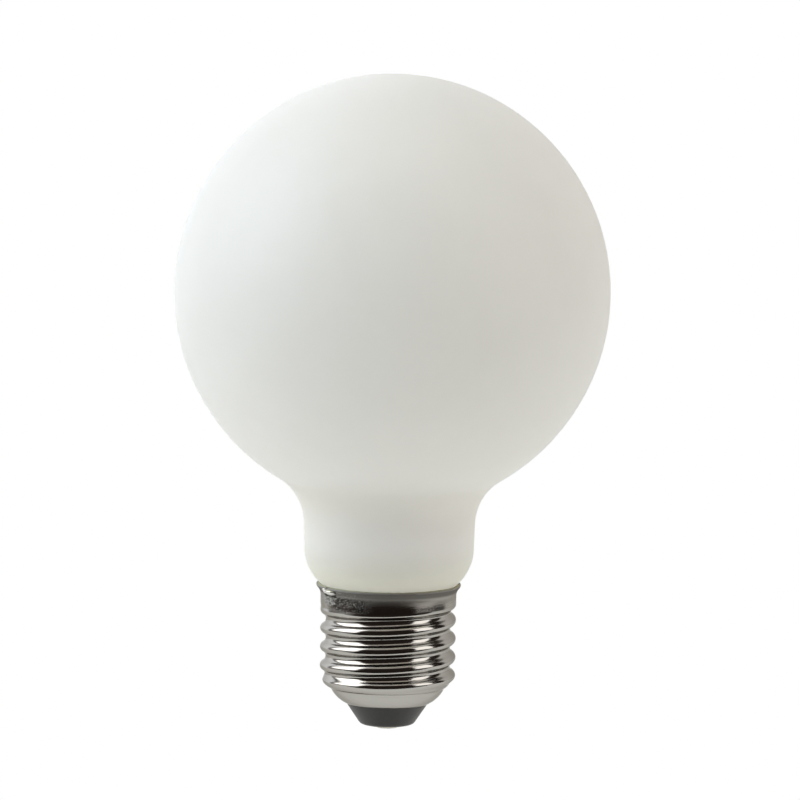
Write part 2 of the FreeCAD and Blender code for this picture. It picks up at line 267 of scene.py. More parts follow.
class SideContactSizes(bpy.types.PropertyGroup):
    """The solder that holds the lead wire on the skirt"""

    bearing: angle("Bearing", "Angle round the axis from +X", 214.5)
    bead_width: length("Bead width", "Across the bright bead", 0.0035)
    bead_height: length("Bead height", "Height of the bright bead", 0.0014)
    bead_centre: length("Bead centre", "Height of the bead's middle", 0.0272)
    bead_proud: length("Bead proud", "How far the bead stands out", 0.0009)
    smear_width: length("Smear width", "Across the rough solder", 0.0048)
    smear_height: length("Smear height", "Height of the rough solder", 0.0034)
    smear_centre: length("Smear centre", "Height of the rough solder's middle", 0.0263)
    smear_lag: length("Smear lag", "How far the rough solder lies from the bead towards -X", 0.0009)
    smear_proud: length("Smear proud", "How far the rough solder stands out", 0.00026)
    stain_turn: angle("Stain turn", "How far round from the bead the stain's middle lies", 17.0)
    stain_reach: length("Stain reach", "Size of the stain before its edge wanders", 0.0075)
    tin: colour("Tin", "Bright solder", (0.72, 0.72, 0.71))
    stain: colour("Stain", "Burnt flux on the skirt", (0.05, 0.043, 0.037))


class StudioSettings(bpy.types.PropertyGroup):
    """The camera and the table"""

    camera_distance: length("Camera distance", "From the aim point to the camera", 1.3)
    camera_height: length("Camera height", "Height of the camera", 0.213)
    aim_height: length("Aim height", "Height of the point on the axis that the camera looks at", 0.0636)
    camera_roll: angle("Camera roll", "Turn of the camera about its line of sight", 0.75)
    focal_pixels: number("Focal length", "In pixels of the picture", 6776.0)
    axis_offset: number("Axis offset", "How far left of the middle the lamp stands, in pixels", 9.0)
    table_drop: length("Table drop", "How far the table lies below the lamp", 0.25)
    table_size: length("Table size", "Side of the square table", 3.0)
    table_front: number("Table front", "Its front edge before the axis, as a share of the drop", 0.78)
    table_paint: colour("Table paint", "Colour of the table under the lights", (0.8, 0.795, 0.77))
    glow: number("Table glow", "Strength of the light from inside the table", 0.18)
    glow_tint: colour("Glow tint", "Colour of the light from inside the table", (1.0, 0.96, 0.85))


class MeshFineness(bpy.types.PropertyGroup):
    """How finely the pieces are drawn"""

    around_glass: steps("Round the glass", 192)
    around_shell: steps("Round the shell", 192)
    around_small: steps("Round small parts", 96)
    row: length("Row height", "Height of a row of faces on the thread", 0.00013)


class Pen:
    """Draws an outline in the plane of X and Z, in a mesh, for the lathe."""

    def __init__(self, radius, height):
        self.bm = bmesh.new()
        self.tip = self.bm.verts.new((radius, 0, height))

    @property
    def place(self):
        return self.tip.co.copy()

    def line_to(self, radius, height, rows=1):
        step = (Vector((radius, 0, height)) - self.tip.co) / rows
        for _ in range(rows):
            made = bmesh.ops.extrude_vert_indiv(self.bm, verts=[self.tip])
            self.tip = made["verts"][0]
            bmesh.ops.translate(self.bm, verts=[self.tip], vec=step)

    def turn(self, centre, degrees, rows):
        """Swings the tip round a centre; a positive turn goes from outwards towards up."""
        made = bmesh.ops.spin(
            self.bm,
            geom=[self.tip],
            cent=centre,
            axis=(0, -1, 0),
            angle=math.radians(degrees),
            steps=rows,
            use_duplicate=False,
        )
        self.tip = next(item for item in made["geom_last"] if isinstance(item, bmesh.types.BMVert))

    def rounded(self, corners, row):
        """Goes on through corners of (point, bend radius), the last of which has no bend."""
        for (corner, radius), (after, _) in zip(corners, corners[1:]):
            into = (corner - self.tip.co).normalized()
            out = (after - corner).normalized()
            turn = into.angle(out)
            start = corner - into * (radius * math.tan(turn / 2))
            rows = max(round((start - self.tip.co).length / row), 1)
            self.line_to(start.x, start.z, rows)
            centre = corner + (out - into).normalized() * (radius / math.cos(turn / 2))
            upwards = into.cross(out).y < 0
            rows = max(round(radius * turn / row), 4)
            self.turn(centre, math.degrees(turn if upwards else -turn), rows)
        end = corners[-1][0]
        rows = max(round((end - self.tip.co).length / row), 1)
        self.line_to(end.x, end.z, rows)

    def lathe(self, steps_round):
        """Spins the outline round the axis and closes its poles."""
        bmesh.ops.spin(
            self.bm,
            geom=self.bm.verts[:] + self.bm.edges[:],
            cent=(0, 0, 0),
            axis=(0, 0, 1),
            angle=2 * math.pi,
            steps=steps_round,
            use_merge=True,
        )
        bmesh.ops.remove_doubles(self.bm, verts=self.bm.verts, dist=1e-7)
        bmesh.ops.recalc_face_normals(self.bm, faces=self.bm.faces)
        return self.bm


def spot(radius, height):
    return Vector((radius, 0, height))


def turned_spot(radius, bearing, height):
    return Vector((radius * math.cos(bearing), radius * math.sin(bearing), height))


def ring_of(corners, steps_round, bend_rows):
    """A closed ring, from corners of (radius, height, bend radius) in order round its section."""
    points = [(spot(radius, height), bend) for radius, height, bend in corners]
    first = (points[0][0] + points[1][0]) / 2
    pen = Pen(first.x, first.z)
    row = min(bend for _, bend in points if bend) / bend_rows
    pen.rounded([*points[1:], points[0], (first, 0)], row)
    return pen.lathe(steps_round)


def finished(bm, name, node, material, sharp_degrees=None):
    """A mesh as a piece that stands for a node of the frame."""
    mesh = bpy.data.meshes.new(name)
    bm.to_mesh(mesh)
    bm.free()
    mesh.shade_smooth()
    if sharp_degrees is not None:
        mesh.set_sharp_from_angle(angle=math.radians(sharp_degrees))
    piece = bpy.data.objects.new(name, mesh)
    bpy.context.scene.collection.objects.link(piece)
    mesh.materials.append(material)
    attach(piece, BODY)
    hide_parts(node)


def smooth_step(share):
    share = min(max(share, 0.0), 1.0)
    return share * share * (3 - 2 * share)


class Nodes:
    """Builds a node tree, one named node after another."""

    def __init__(self, owner):
        owner.use_nodes = True
        self.tree = owner.node_tree
        self.tree.nodes.clear()

    def add(self, kind, inputs=None, **settings):
        node = self.tree.nodes.new(kind)
        for name, value in settings.items():
            setattr(node, name, value)
        for name, value in (inputs or {}).items():
            self.put(node.inputs[name], value)
        return node

    def put(self, socket, value):
        if isinstance(value, bpy.types.NodeSocket):
            self.tree.links.new(value, socket)
        else:
            socket.default_value = value

    def math(self, operation, first, second=0.0):
        return self.add("ShaderNodeMath", {0: first, 1: second}, operation=operation).outputs[0]

    def times(self, first, second):
        return self.math("MULTIPLY", first, second)

    def plus(self, first, second):
        return self.math("ADD", first, second)

    def share(self, value, low, high, smooth=True):
        """0 below low, 1 above high; low may be the larger."""
        kind = "SMOOTHSTEP" if smooth else "LINEAR"
        ends = {"Value": value, "From Min": low, "From Max": high}
        return self.add("ShaderNodeMapRange", ends, interpolation_type=kind).outputs["Result"]

    def share_from(self, origin, value, ends):
        """The share between two ends that are measured from an origin."""
        low, high = ends
        return self.share(value, origin + low, origin + high)

    def mix(self, share, first, second):
        """The first colour where the share is 0, and the second where it is 1."""
        node = self.add("ShaderNodeMix", {"Factor": share}, data_type="RGBA")
        ends = [socket for socket in node.inputs if socket.type == "RGBA"]
        for socket, tint in zip(ends, (first, second)):
            self.put(socket, tint if isinstance(tint, bpy.types.NodeSocket) else (*tint, 1.0))
        return node.outputs["Result"]

    def coated(self, tint, *coats):
        """A tint under coats of (share, tint), each over those before it."""
        for share, coat in coats:
            tint = self.mix(share, tint, coat)
        return tint

    def raised(self, value, *amounts):
        """A value with amounts of (share, most) added to it."""
        for share, most in amounts:
            value = self.plus(value, self.times(share, most))
        return value

    def noise(self, vector, scale, detail=2.0, roughness=0.5):
        values = {"Vector": vector, "Scale": scale, "Detail": detail, "Roughness": roughness}
        return self.add("ShaderNodeTexNoise", values).outputs["Fac"]

    def bump(self, height, depth, strength, normal=None):
        values = {"Height": height, "Distance": depth, "Strength": strength}
        if normal is not None:
            values["Normal"] = normal
        return self.add("ShaderNodeBump", values).outputs["Normal"]

    def place(self):
        return self.add("ShaderNodeTexCoord").outputs["Object"]

    def height(self, place):
        return self.add("ShaderNodeSeparateXYZ", {"Vector": place}).outputs["Z"]

    def surface(self, **values):
        """The principled shader; Base_Color stands for its input Base Color, and so on."""
        inputs = {name.replace("_", " "): value for name, value in values.items()}
        shader = self.add("ShaderNodeBsdfPrincipled", inputs)
        self.add("ShaderNodeOutputMaterial", {"Surface": shader.outputs["BSDF"]})

    def by_ray(self, kind, others, this):
        """One shader for rays of one kind, and another for all others."""
        ray = self.add("ShaderNodeLightPath").outputs[kind]
        return self.add("ShaderNodeMixShader", {0: ray, 1: others, 2: this}).outputs[0]


def new_material(name):
    material = bpy.data.materials.new(name)
    return material, Nodes(material)


def scaled(tint, factor):
    return [channel * factor for channel in tint]


def opal_glass(sizes):
    """Matt white glass, a little uneven, and yellower towards the heel.

    The solid scatters light from side to side, as the hollow globe does. The neck scatters less, which
    paints the shade that the globe casts on it.
    """
    material, nodes = new_material("opal_glass")
    place = nodes.place()
    height = nodes.height(place)
    clouds = nodes.noise(place, scale=90.0, detail=3.0)
    grain = nodes.noise(place, scale=5200.0, roughness=0.6)
    neck = nodes.share(height, *NECK_STARTS)
    upper_neck = nodes.share(height, *UPPER_NECK_STARTS)
    # Painted shade: the neck scatters less, so it looks shaded by the globe above
    neck_painted_shade = nodes.plus(nodes.times(upper_neck, UPPER_NECK_PAINTED_SHADE), NECK_PAINTED_SHADE)
    tint = nodes.coated(
        scaled(sizes.tint, CLOUD_DARKNESS),
        (nodes.share(clouds, low=0.3, high=0.7), sizes.tint),
        (nodes.share(height, sizes.heel_height + HEEL_TINT_RISE, HEEL_TINT_FULL), sizes.heel_tint),
    )
    nodes.surface(
        Base_Color=tint,
        Roughness=GLASS_ROUGHNESS,
        IOR=1.5,
        Subsurface_Weight=nodes.math("SUBTRACT", 1.0, nodes.times(neck, neck_painted_shade)),
        Subsurface_Radius=(1.0, 1.0, 1.0),
        Subsurface_Scale=GLASS_SCATTER_REACH,
        Normal=nodes.bump(grain, depth=0.000012, strength=0.35),
    )
    return material


def nickel_plate(cap, side):
    """Bright nickel on rolled sheet, dull and pitted on the skirt, darker on the flare, and stained by flux
    near the solder.
    """
    material, nodes = new_material("nickel_plate")
    place = nodes.place()
    height = nodes.height(place)
    rings = nodes.add("ShaderNodeMapping", {"Vector": place, "Scale": ROLLED_STRETCH}).outputs["Vector"]
    rolled = nodes.noise(rings, scale=1.0, detail=3.0, roughness=0.6)
    waves = nodes.noise(place, scale=160.0, detail=1.0)
    grit = nodes.noise(place, scale=5000.0, roughness=0.75)
    skirt = nodes.share_from(cap.thread_top, height, SKIRT_STARTS)
    haze = nodes.share_from(cap.thread_top, height, HAZE_STARTS)
    rising = nodes.share(height, cap.thread_top, cap.rim_height, smooth=False)
    flare = nodes.share_from(cap.flare_bottom, height, FLARE_STARTS)
    lip = nodes.share(height, cap.flare_top, cap.rim_height - cap.rim_straight / 2)
    stained = nodes.times(stain_share(nodes, place, height, cap, side), skirt)
    # The flare mixed towards the stain's colour and made rougher, together with the stain by the solder
    stain_and_flare_darkening = nodes.math("MAXIMUM", stained, nodes.times(flare, FLARE_DARKENING))
    pitted = nodes.times(nodes.share(grit, low=0.54, high=0.66), nodes.plus(stained, PITTED_EVERYWHERE))
    tint = nodes.coated(
        cap.nickel,
        (nodes.times(skirt, 0.5), cap.dull_nickel),
        (stain_and_flare_darkening, side.stain),
        (nodes.times(pitted, 0.6), scaled(side.stain, 0.5)),
        (nodes.times(nodes.share(grit, low=0.43, high=0.37), stained), side.tin),
        (lip, cap.nickel),
    )
    normal = nodes.bump(waves, depth=0.00012, strength=0.25)
    normal = nodes.bump(rolled, depth=0.00001, strength=0.35, normal=normal)
    normal = nodes.bump(nodes.times(pitted, -1.0), depth=0.00004, strength=0.7, normal=normal)
    nodes.surface(
        Base_Color=tint,
        Metallic=1.0,
        Roughness=nodes.raised(
            0.08, (rolled, 0.08), (rising, 0.16), (haze, 0.24), (stain_and_flare_darkening, 0.17), (lip, 0.25)
        ),
        Specular_Tint=NICKEL_EDGE_TINT,
        Normal=normal,
    )
    return material


def stain_share(nodes, place, height, cap, side):
    """1 beside the side solder, fading with an uneven edge at the stain's reach, and less on the flare."""
    middle = turned_spot(cap.skirt_radius, side.bearing + side.stain_turn, side.smear_centre - STAIN_DROP)
    away = nodes.add("ShaderNodeVectorMath", {0: place, 1: middle}, operation="DISTANCE").outputs["Value"]
    ragged = nodes.times(nodes.noise(place, scale=900.0, detail=3.0, roughness=0.7), side.stain_reach * 0.9)
    stained = nodes.share(nodes.plus(away, ragged), side.stain_reach * 1.4, side.stain_reach * 0.75)
    under_flare = nodes.share_from(cap.flare_bottom, height, UNDER_FLARE_STARTS)
    return nodes.times(stained, nodes.raised(STAIN_ON_FLARE, (under_flare, 1 - STAIN_ON_FLARE)))


def tin_solder(side):
    """Bright tin on the bead; grey, burnt and rough below it, and a painted shade right under the bead."""
    material, nodes = new_material("side_solder")
    place = nodes.place()
    height = nodes.height(place)
    grit = nodes.noise(place, scale=3800.0, detail=3.0, roughness=0.7)
    bright_end = side.bead_centre - side.bead_height / 4
    burnt = nodes.share_from(bright_end, height, BURNT_STARTS)
    # Painted shade under the bead, where its underside would mirror the dark skirt
    painted_shade_under_bead = nodes.times(burnt, nodes.share_from(bright_end, height, UNDER_BEAD_SHADE_STARTS))
    rough_tint = nodes.mix(nodes.share(grit, low=0.47, high=0.4), scaled(side.tin, 0.3), side.tin)
    nodes.surface(
        Base_Color=nodes.coated(side.tin, (burnt, rough_tint), (painted_shade_under_bead, scaled(side.stain, 0.6))),
        Metallic=1.0,
        Roughness=nodes.raised(0.16, (burnt, 0.22)),
        Normal=nodes.bump(grit, depth=0.00006, strength=0.5),
    )
    return material


def plain_metal(name, tint, roughness, grain_scale, grain_depth):
    """A metal with a grain in its tint, its gloss and its face."""
    material, nodes = new_material(name)
    grain = nodes.noise(nodes.place(), grain_scale, detail=4.0, roughness=0.6)
    gloss = {"Value": grain, "To Min": roughness * 0.7, "To Max": roughness * 1.3}
    nodes.surface(
        Base_Color=nodes.mix(nodes.share(grain, low=0.35, high=0.65), scaled(tint, 0.8), tint),
        Metallic=1.0,
        Roughness=nodes.add("ShaderNodeMapRange", gloss).outputs["Result"],
        Normal=nodes.bump(grain, grain_depth, strength=0.6),
    )
    return material


def insulator_black(foot):
    """Moulded black, satin, with a fine grain."""
    material, nodes = new_material("insulator_black")
    grain = nodes.noise(nodes.place(), scale=3000.0, detail=3.0)
    nodes.surface(
        Base_Color=nodes.mix(grain, scaled(foot.black, 0.8), scaled(foot.black, 1.25)),
        Roughness=0.42,
        IOR=1.5,
        Normal=nodes.bump(grain, depth=0.00001, strength=0.4),
    )
    return material


def cement_paste(cement):
    """Yellowish grey basing cement with a coarse grain."""
    material, nodes = new_material("cement")
    grain = nodes.noise(nodes.place(), scale=2500.0, detail=4.0, roughness=0.7)
    nodes.surface(
        Base_Color=nodes.mix(nodes.share(grain, low=0.3, high=0.7), cement.dark, cement.pale),
        Roughness=0.85,
        Normal=nodes.bump(grain, depth=0.00004, strength=0.7),
    )
    return material


def dress_wire(node, tint):
    """Gives a lead wire of the frame, which stays as it is, the look of drawn wire."""
    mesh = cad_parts[node].data
    mesh.materials.clear()
    mesh.materials.append(plain_metal(node, tint, roughness=0.4, grain_scale=2000.0, grain_depth=0.00001))


class LAMP_OT_glass_globe(bpy.types.Operator):
    """Turns the glass envelope, from the crown to the closed end inside the cap"""

    bl_idname = "lamp.glass_globe"
    bl_label = "Glass globe"

    def execute(self, context):
        scene = context.scene
        sizes = scene.lamp_glass
        globe_centre = spot(0, sizes.crown_height - sizes.globe_radius)
        reach = sizes.globe_radius + sizes.shoulder_radius
        across = sizes.neck_top_radius + sizes.shoulder_radius
        drop = math.sqrt(reach**2 - across**2)
        shoulder_turn = math.degrees(math.asin(drop / reach))
        pen = Pen(0, sizes.crown_height)
        pen.turn(globe_centre, -90 - shoulder_turn, rows=110)
        pen.turn(spot(across, globe_centre.z - drop), shoulder_turn, rows=24)
        pen.line_to(sizes.neck_bottom_radius, sizes.heel_height, rows=4)
        heel_centre = spot(sizes.neck_bottom_radius - sizes.heel_radius, sizes.heel_height)
        pen.turn(heel_centre, -math.degrees(sizes.heel_slope), rows=16)
        heel_end = pen.place
        seal_top = heel_end.z - (heel_end.x - sizes.seal_radius) / math.tan(sizes.heel_slope)
        pen.line_to(sizes.seal_radius, seal_top, rows=2)
        pen.line_to(sizes.seal_radius, sizes.seal_height, rows=2)
        pen.line_to(0, sizes.seal_height, rows=2)
        bm = pen.lathe(scene.lamp_fineness.around_glass)
        finished(bm, "opal_globe", "glass_globe", opal_glass(sizes))
        return {"FINISHED"}


def shell_corners(cap):
    """The corners of the shell's outline below its rim."""
    return [
        (spot(cap.rim_radius, cap.flare_top), cap.flare_bend),
        (spot(cap.skirt_radius, cap.flare_bottom), cap.flare_foot_bend),
        (spot(cap.skirt_radius, cap.foot_height), cap.foot_bend),
        (spot(cap.waist_radius, cap.waist_height), cap.waist_bend),
        (spot(cap.dome_corner_radius, cap.dome_corner_height), cap.dome_bend),
        (spot(cap.hole_radius, cap.hole_height), 0),
    ]


def groove(cap, from_crest):
    """Depth of the thread at a distance along the axis from a crest: two arcs that meet in a tangent."""
    half = cap.thread_pitch / 2
    round_radius = (half**2 + cap.thread_depth**2) / (4 * cap.thread_depth)
    if from_crest <= half / 2:
        return round_radius - math.sqrt(round_radius**2 - from_crest**2)
    return cap.thread_depth - round_radius + math.sqrt(round_radius**2 - (half - from_crest) ** 2)


def thread_depth_at(cap, place):
    turn = math.atan2(place.y, place.x) / (2 * math.pi)
    turns = (place.z - cap.thread_crest) / cap.thread_pitch - turn
    from_crest = abs(turns - round(turns)) * cap.thread_pitch
    fade = smooth_step((cap.thread_top - place.z) / cap.thread_runout)
    fade *= smooth_step((place.z - cap.thread_bottom) / cap.thread_fade)
    return fade * groove(cap, from_crest)


class LAMP_OT_screw_shell(bpy.types.Operator):
    """Turns the plain shell, rolls the thread into it and gives the sheet its wall"""

    bl_idname = "lamp.screw_shell"
    bl_label = "Screw shell"

    def execute(self, context):
        scene = context.scene
        cap = scene.lamp_cap
        pen = Pen(cap.rim_radius, cap.rim_height)
        pen.rounded(shell_corners(cap), scene.lamp_fineness.row)
        bm = pen.lathe(scene.lamp_fineness.around_shell)
        self.roll_thread(bm, cap)
        bmesh.ops.solidify(bm, geom=bm.faces[:], thickness=cap.wall)
        plating = nickel_plate(cap, scene.lamp_side)
        finished(bm, "nickel_shell", "screw_shell", plating, sharp_degrees=60)
        return {"FINISHED"}

    def roll_thread(self, bm, cap):
        """Turns the faces outwards and presses the thread in against their normals."""
        bm.normal_update()
        outwards = sum(vert.normal.dot(Vector((vert.co.x, vert.co.y, 0))) for vert in bm.verts)
        side = math.copysign(1, outwards)
        ways = {vert: vert.normal * side for vert in bm.verts}
        if side < 0:
            bmesh.ops.reverse_faces(bm, faces=bm.faces)
        for vert, way in ways.items():
            vert.co -= way * thread_depth_at(cap, vert.co)
        bm.normal_update()


class LAMP_OT_basing_cement(bpy.types.Operator):
    """Makes the ring of cement that shows between the rim and the glass"""

    bl_idname = "lamp.basing_cement"
    bl_label = "Basing cement"

    def execute(self, context):
        scene = context.scene
        cap = scene.lamp_cap
        cement = scene.lamp_cement
        bm = ring_of(
            self.corners(cap, cement, scene.lamp_glass), scene.lamp_fineness.around_shell, bend_rows=3
        )
        for vert in bm.verts:
            if vert.co.z > cap.flare_top:
                vert.co.z += CEMENT_UNEVENNESS * noise.noise(vert.co * CEMENT_GRAIN)
        finished(bm, "cement_ring", "basing_cement", cement_paste(cement))
        return {"FINISHED"}

    def corners(self, cap, cement, glass):
        """The section of the ring, between the glass and the sheet."""
        inset = cap.wall * CEMENT_INSET_IN_WALLS
        slope = math.tan(glass.heel_slope)
        heel_end = glass.heel_height - glass.heel_radius * math.sin(glass.heel_slope)
        heel_end_radius = glass.neck_bottom_radius - glass.heel_radius * (1 - math.cos(glass.heel_slope))
        top = cap.rim_height + cement.rise
        glass_at_top = heel_end_radius - (heel_end - top) * slope
        glass_at_bottom = max(heel_end_radius - (heel_end - cement.bottom) * slope, glass.seal_radius)
        places = [
            (glass_at_bottom + inset, cement.bottom),
            (cap.skirt_radius - inset, cement.bottom),
            (cap.skirt_radius - inset, cap.flare_bottom),
            (cap.rim_radius - inset, cap.flare_top),
            (cap.rim_radius - inset, cap.rim_height - CEMENT_RIM_DROP),
            (glass_at_top + CEMENT_GLASS_GAP, top),
        ]
        return [(radius, height, CEMENT_BEND) for radius, height in places]


class LAMP_OT_insulator(bpy.types.Operator):
    """Turns the black foot of the cap, with the seat of the contact and a moulded ring round it"""

    bl_idname = "lamp.insulator"
    bl_label = "Insulator"

    def execute(self, context):
        scene = context.scene
        foot = scene.lamp_foot
        corners = self.corners(scene.lamp_cap, foot)
        bm = ring_of(corners, scene.lamp_fineness.around_small, bend_rows=2)
        black = insulator_black(foot)
        finished(bm, "moulded_foot", "insulator", black, sharp_degrees=50)
        return {"FINISHED"}

    def corners(self, cap, foot):
        """From the eyelet outwards along the bottom, up the cone, and back inside the cap."""
        seat_radius = foot.contact_radius + SEAT_CLEARANCE
        mark = (foot.contact_radius + foot.radius - foot.edge / 2) / 2
        return [
            (foot.eyelet_radius, foot.seat, SEAT_EDGE),
            (seat_radius, foot.seat, SEAT_EDGE),
            (seat_radius, foot.bottom, SEAT_EDGE),
            (mark - MARK_HALF_WIDTH, foot.bottom, SEAT_EDGE),
            (mark, foot.bottom + MARK_DEPTH, MARK_BEND),
            (mark + MARK_HALF_WIDTH, foot.bottom, SEAT_EDGE),
            (foot.radius, foot.bottom, foot.edge),
            (foot.shoulder, cap.hole_height, PLUG_EDGE),
            (foot.shoulder, cap.hole_height + cap.wall, LEDGE_EDGE),
            (foot.shoulder + PLUG_SPREAD, foot.top, PLUG_EDGE),
            (foot.eyelet_radius, foot.top, PLUG_EDGE),
        ]


class LAMP_OT_centre_contact(bpy.types.Operator):
    """Makes the centre contact with its eyelet and the solder on it, and dresses the wire in it"""

    bl_idname = "lamp.centre_contact"
    bl_label = "Centre contact"

    def execute(self, context):
        scene = context.scene
        foot = scene.lamp_foot
        steps_round = scene.lamp_fineness.around_small
        bottom = foot.seat - foot.contact_thickness
        bore = foot.eyelet_radius - foot.eyelet_wall
        places = [
            (bore, bottom),
            (foot.contact_radius, bottom),
            (foot.contact_radius, foot.seat),
            (foot.eyelet_radius, foot.seat),
            (foot.eyelet_radius, foot.eyelet_top),
            (bore, foot.eyelet_top),
        ]
        corners = [(radius, height, foot.contact_edge) for radius, height in places]
        brass = plain_metal(
            "contact_metal", foot.brass, roughness=0.25, grain_scale=1500.0, grain_depth=0.00001
        )
        plate = ring_of(corners, steps_round, bend_rows=5)
        finished(plate, "contact_plate", "centre_contact", brass)
        solder = plain_metal(
            "centre_solder", foot.solder, roughness=0.35, grain_scale=900.0, grain_depth=0.00004
        )
        dot = self.solder(foot, steps_round, bottom, bore)
        finished(dot, "solder_dot", "centre_solder", solder)
        dress_wire("centre_lead", foot.wire)
        return {"FINISHED"}

    def solder(self, foot, steps_round, plate_bottom, bore):
        """A flattened drop with a plug up into the eyelet; its flat stays at height 0."""
        beyond_flat = foot.dot_radius - foot.dot_flat
        slope = math.atan2(plate_bottom, beyond_flat)
        chord = math.hypot(beyond_flat, plate_bottom)
        sweep = 2 * slope * DOT_ROUNDNESS
        bend = chord / (2 * math.sin(sweep / 2))
        middle = (spot(foot.dot_flat, 0) + spot(foot.dot_radius, plate_bottom)) / 2
        inwards = spot(-plate_bottom, beyond_flat) / chord
        pen = Pen(0, 0)
        pen.line_to(foot.dot_flat, 0, rows=12)
        pen.turn(middle + inwards * (bend * math.cos(sweep / 2)), math.degrees(sweep), rows=14)
        pen.line_to(bore, plate_bottom, rows=4)
        pen.line_to(bore, foot.dot_top, rows=4)
        pen.line_to(0, foot.dot_top, rows=3)
        bm = pen.lathe(steps_round)
        for vert in bm.verts:
            if vert.co.z < plate_bottom * DOT_UNEVEN_BELOW:
                lift = noise.fractal(vert.co * DOT_GRAIN, *FRACTAL)
                vert.co.z += max(DOT_UNEVENNESS * lift, -vert.co.z)
        return bm


class LAMP_OT_side_contact(bpy.types.Operator):
    """Makes the solder on the skirt, a bright bead over a rough smear, and dresses the wire under it"""

    bl_idname = "lamp.side_contact"
    bl_label = "Side contact"

    def execute(self, context):
        scene = context.scene
        side = scene.lamp_side
        bm = bmesh.new()
        columns, rows = SOLDER_GRID
        bmesh.ops.create_grid(bm, x_segments=columns, y_segments=rows, size=1.0)
        for vert in bm.verts:
            vert.co = self.on_patch(side, vert.co)
        made = bmesh.ops.extrude_face_region(bm, geom=bm.faces[:], use_keep_orig=True)
        outer = {item for item in made["geom"] if isinstance(item, bmesh.types.BMVert)}
        for vert in bm.verts:
            vert.co = self.on_skirt(scene.lamp_cap, side, vert.co, vert in outer)
        bmesh.ops.recalc_face_normals(bm, faces=bm.faces)
        finished(bm, "solder_bead", "side_solder", tin_solder(side), sharp_degrees=60)
        dress_wire("side_lead", scene.lamp_foot.wire)
        return {"FINISHED"}

    def on_patch(self, side, share):
        """From -1 to 1 each way to the distance round the skirt and the height."""
        top = side.bead_centre + side.bead_height / 2
        bottom = side.smear_centre - side.smear_height / 2
        reach = side.smear_width / 2 + side.smear_lag
        return Vector((share.x * reach, (top + bottom + share.y * (top - bottom)) / 2, 0))

    def on_skirt(self, cap, side, place, outer):
        """From the distance round the skirt and the height to the solder's inner or outer face."""
        sunk = cap.wall * SOLDER_SUNK_IN_WALLS
        radius = skirt_radius_at(cap, place.y) - sunk
        if outer:
            radius += sunk + self.thickness(side, place.x, place.y)
        return turned_spot(radius, side.bearing + place.x / cap.skirt_radius, place.y)

    def thickness(self, side, across, height):
        """How far the solder stands out, under zero where there is none."""
        place = Vector((across, height, 0))
        wander = noise.fractal(place * SOLDER_EDGE_GRAIN, *FRACTAL)
        bead = 1 - (2 * across / side.bead_width) ** 2
        bead -= (2 * (height - side.bead_centre) / side.bead_height) ** 2
        smear = 1 - (2 * (across + side.smear_lag) / side.smear_width) ** 2
        smear -= (2 * (height - side.smear_centre) / side.smear_height) ** 2 + SOLDER_EDGE_WANDER * wander
        proud = SOLDER_HIDDEN
        if smear > 0:
            crust = CRUST_MEAN + CRUST_UNEVENNESS * noise.noise(place * CRUST_GRAIN)
            proud = side.smear_proud * smooth_step(smear * SOLDER_EDGE_STEEPNESS) * crust
        if bead > 0:
            proud = max(proud, side.bead_proud * math.sqrt(bead))
        return proud


def skirt_radius_at(cap, height):
    """The outside of the skirt, with the flare under the rim."""
    flared = smooth_step((height - cap.flare_bottom) / cap.flare_height)
    return cap.skirt_radius + (cap.rim_radius - cap.skirt_radius) * flared


class SkyPanel:
    """A soft-edged field of light in the sky, in degrees.

    Azimuth is 0 towards -Y and 90 towards +X. Metal may mirror the panel in another light than it gives.
    """

    def __init__(self, azimuth, elevation, edge, light, mirrored=None):
        self.azimuth = azimuth
        self.elevation = elevation
        self.edge = edge
        self.light = light
        self.mirrored = mirrored

    def share(self, nodes, azimuth, elevation):
        """1 inside the panel, 0 outside, as the product of its four edges."""
        half = self.edge / 2
        inside = 1.0
        for way, (low, high) in ((azimuth, self.azimuth), (elevation, self.elevation)):
            for start, end in ((low - half, low + half), (high + half, high - half)):
                inside = nodes.times(inside, nodes.share(way, math.radians(start), math.radians(end)))
        return inside

    def shown(self, nodes):
        if self.mirrored is None:
            return self.light
        glossy = nodes.add("ShaderNodeLightPath").outputs["Is Glossy Ray"]
        return nodes.mix(glossy, self.light, self.mirrored)


PANELS = {
    "left box": SkyPanel((-112, -56), (4, 62), 12, (2.68, 2.98, 3.3), mirrored=(2.95, 2.9, 2.79)),
    "front bank": SkyPanel((-58, 58), (43, 66), 6, (0.54, 0.49, 0.43)),
    "overhead": SkyPanel((-200, 200), (68, 100), 6, (1.17, 1.1, 0.92)),
    "right box": SkyPanel((48, 82), (-6, 46), 4, (1.5, 1.38, 1.2), mirrored=(1.82, 1.75, 1.66)),
    "right bank": SkyPanel((66, 122), (48, 72), 8, (0.8, 0.785, 0.72)),
    "left curtain": SkyPanel((-127, -64), (-40, 4), 12, (0.24, 0.23, 0.22)),
    "back wall left": SkyPanel((-184, -122), (-70, 54), 8, (1.15, 1.16, 1.17)),
    "back wall right": SkyPanel((112, 184), (-70, 38), 8, (0.7, 0.675, 0.63)),
}


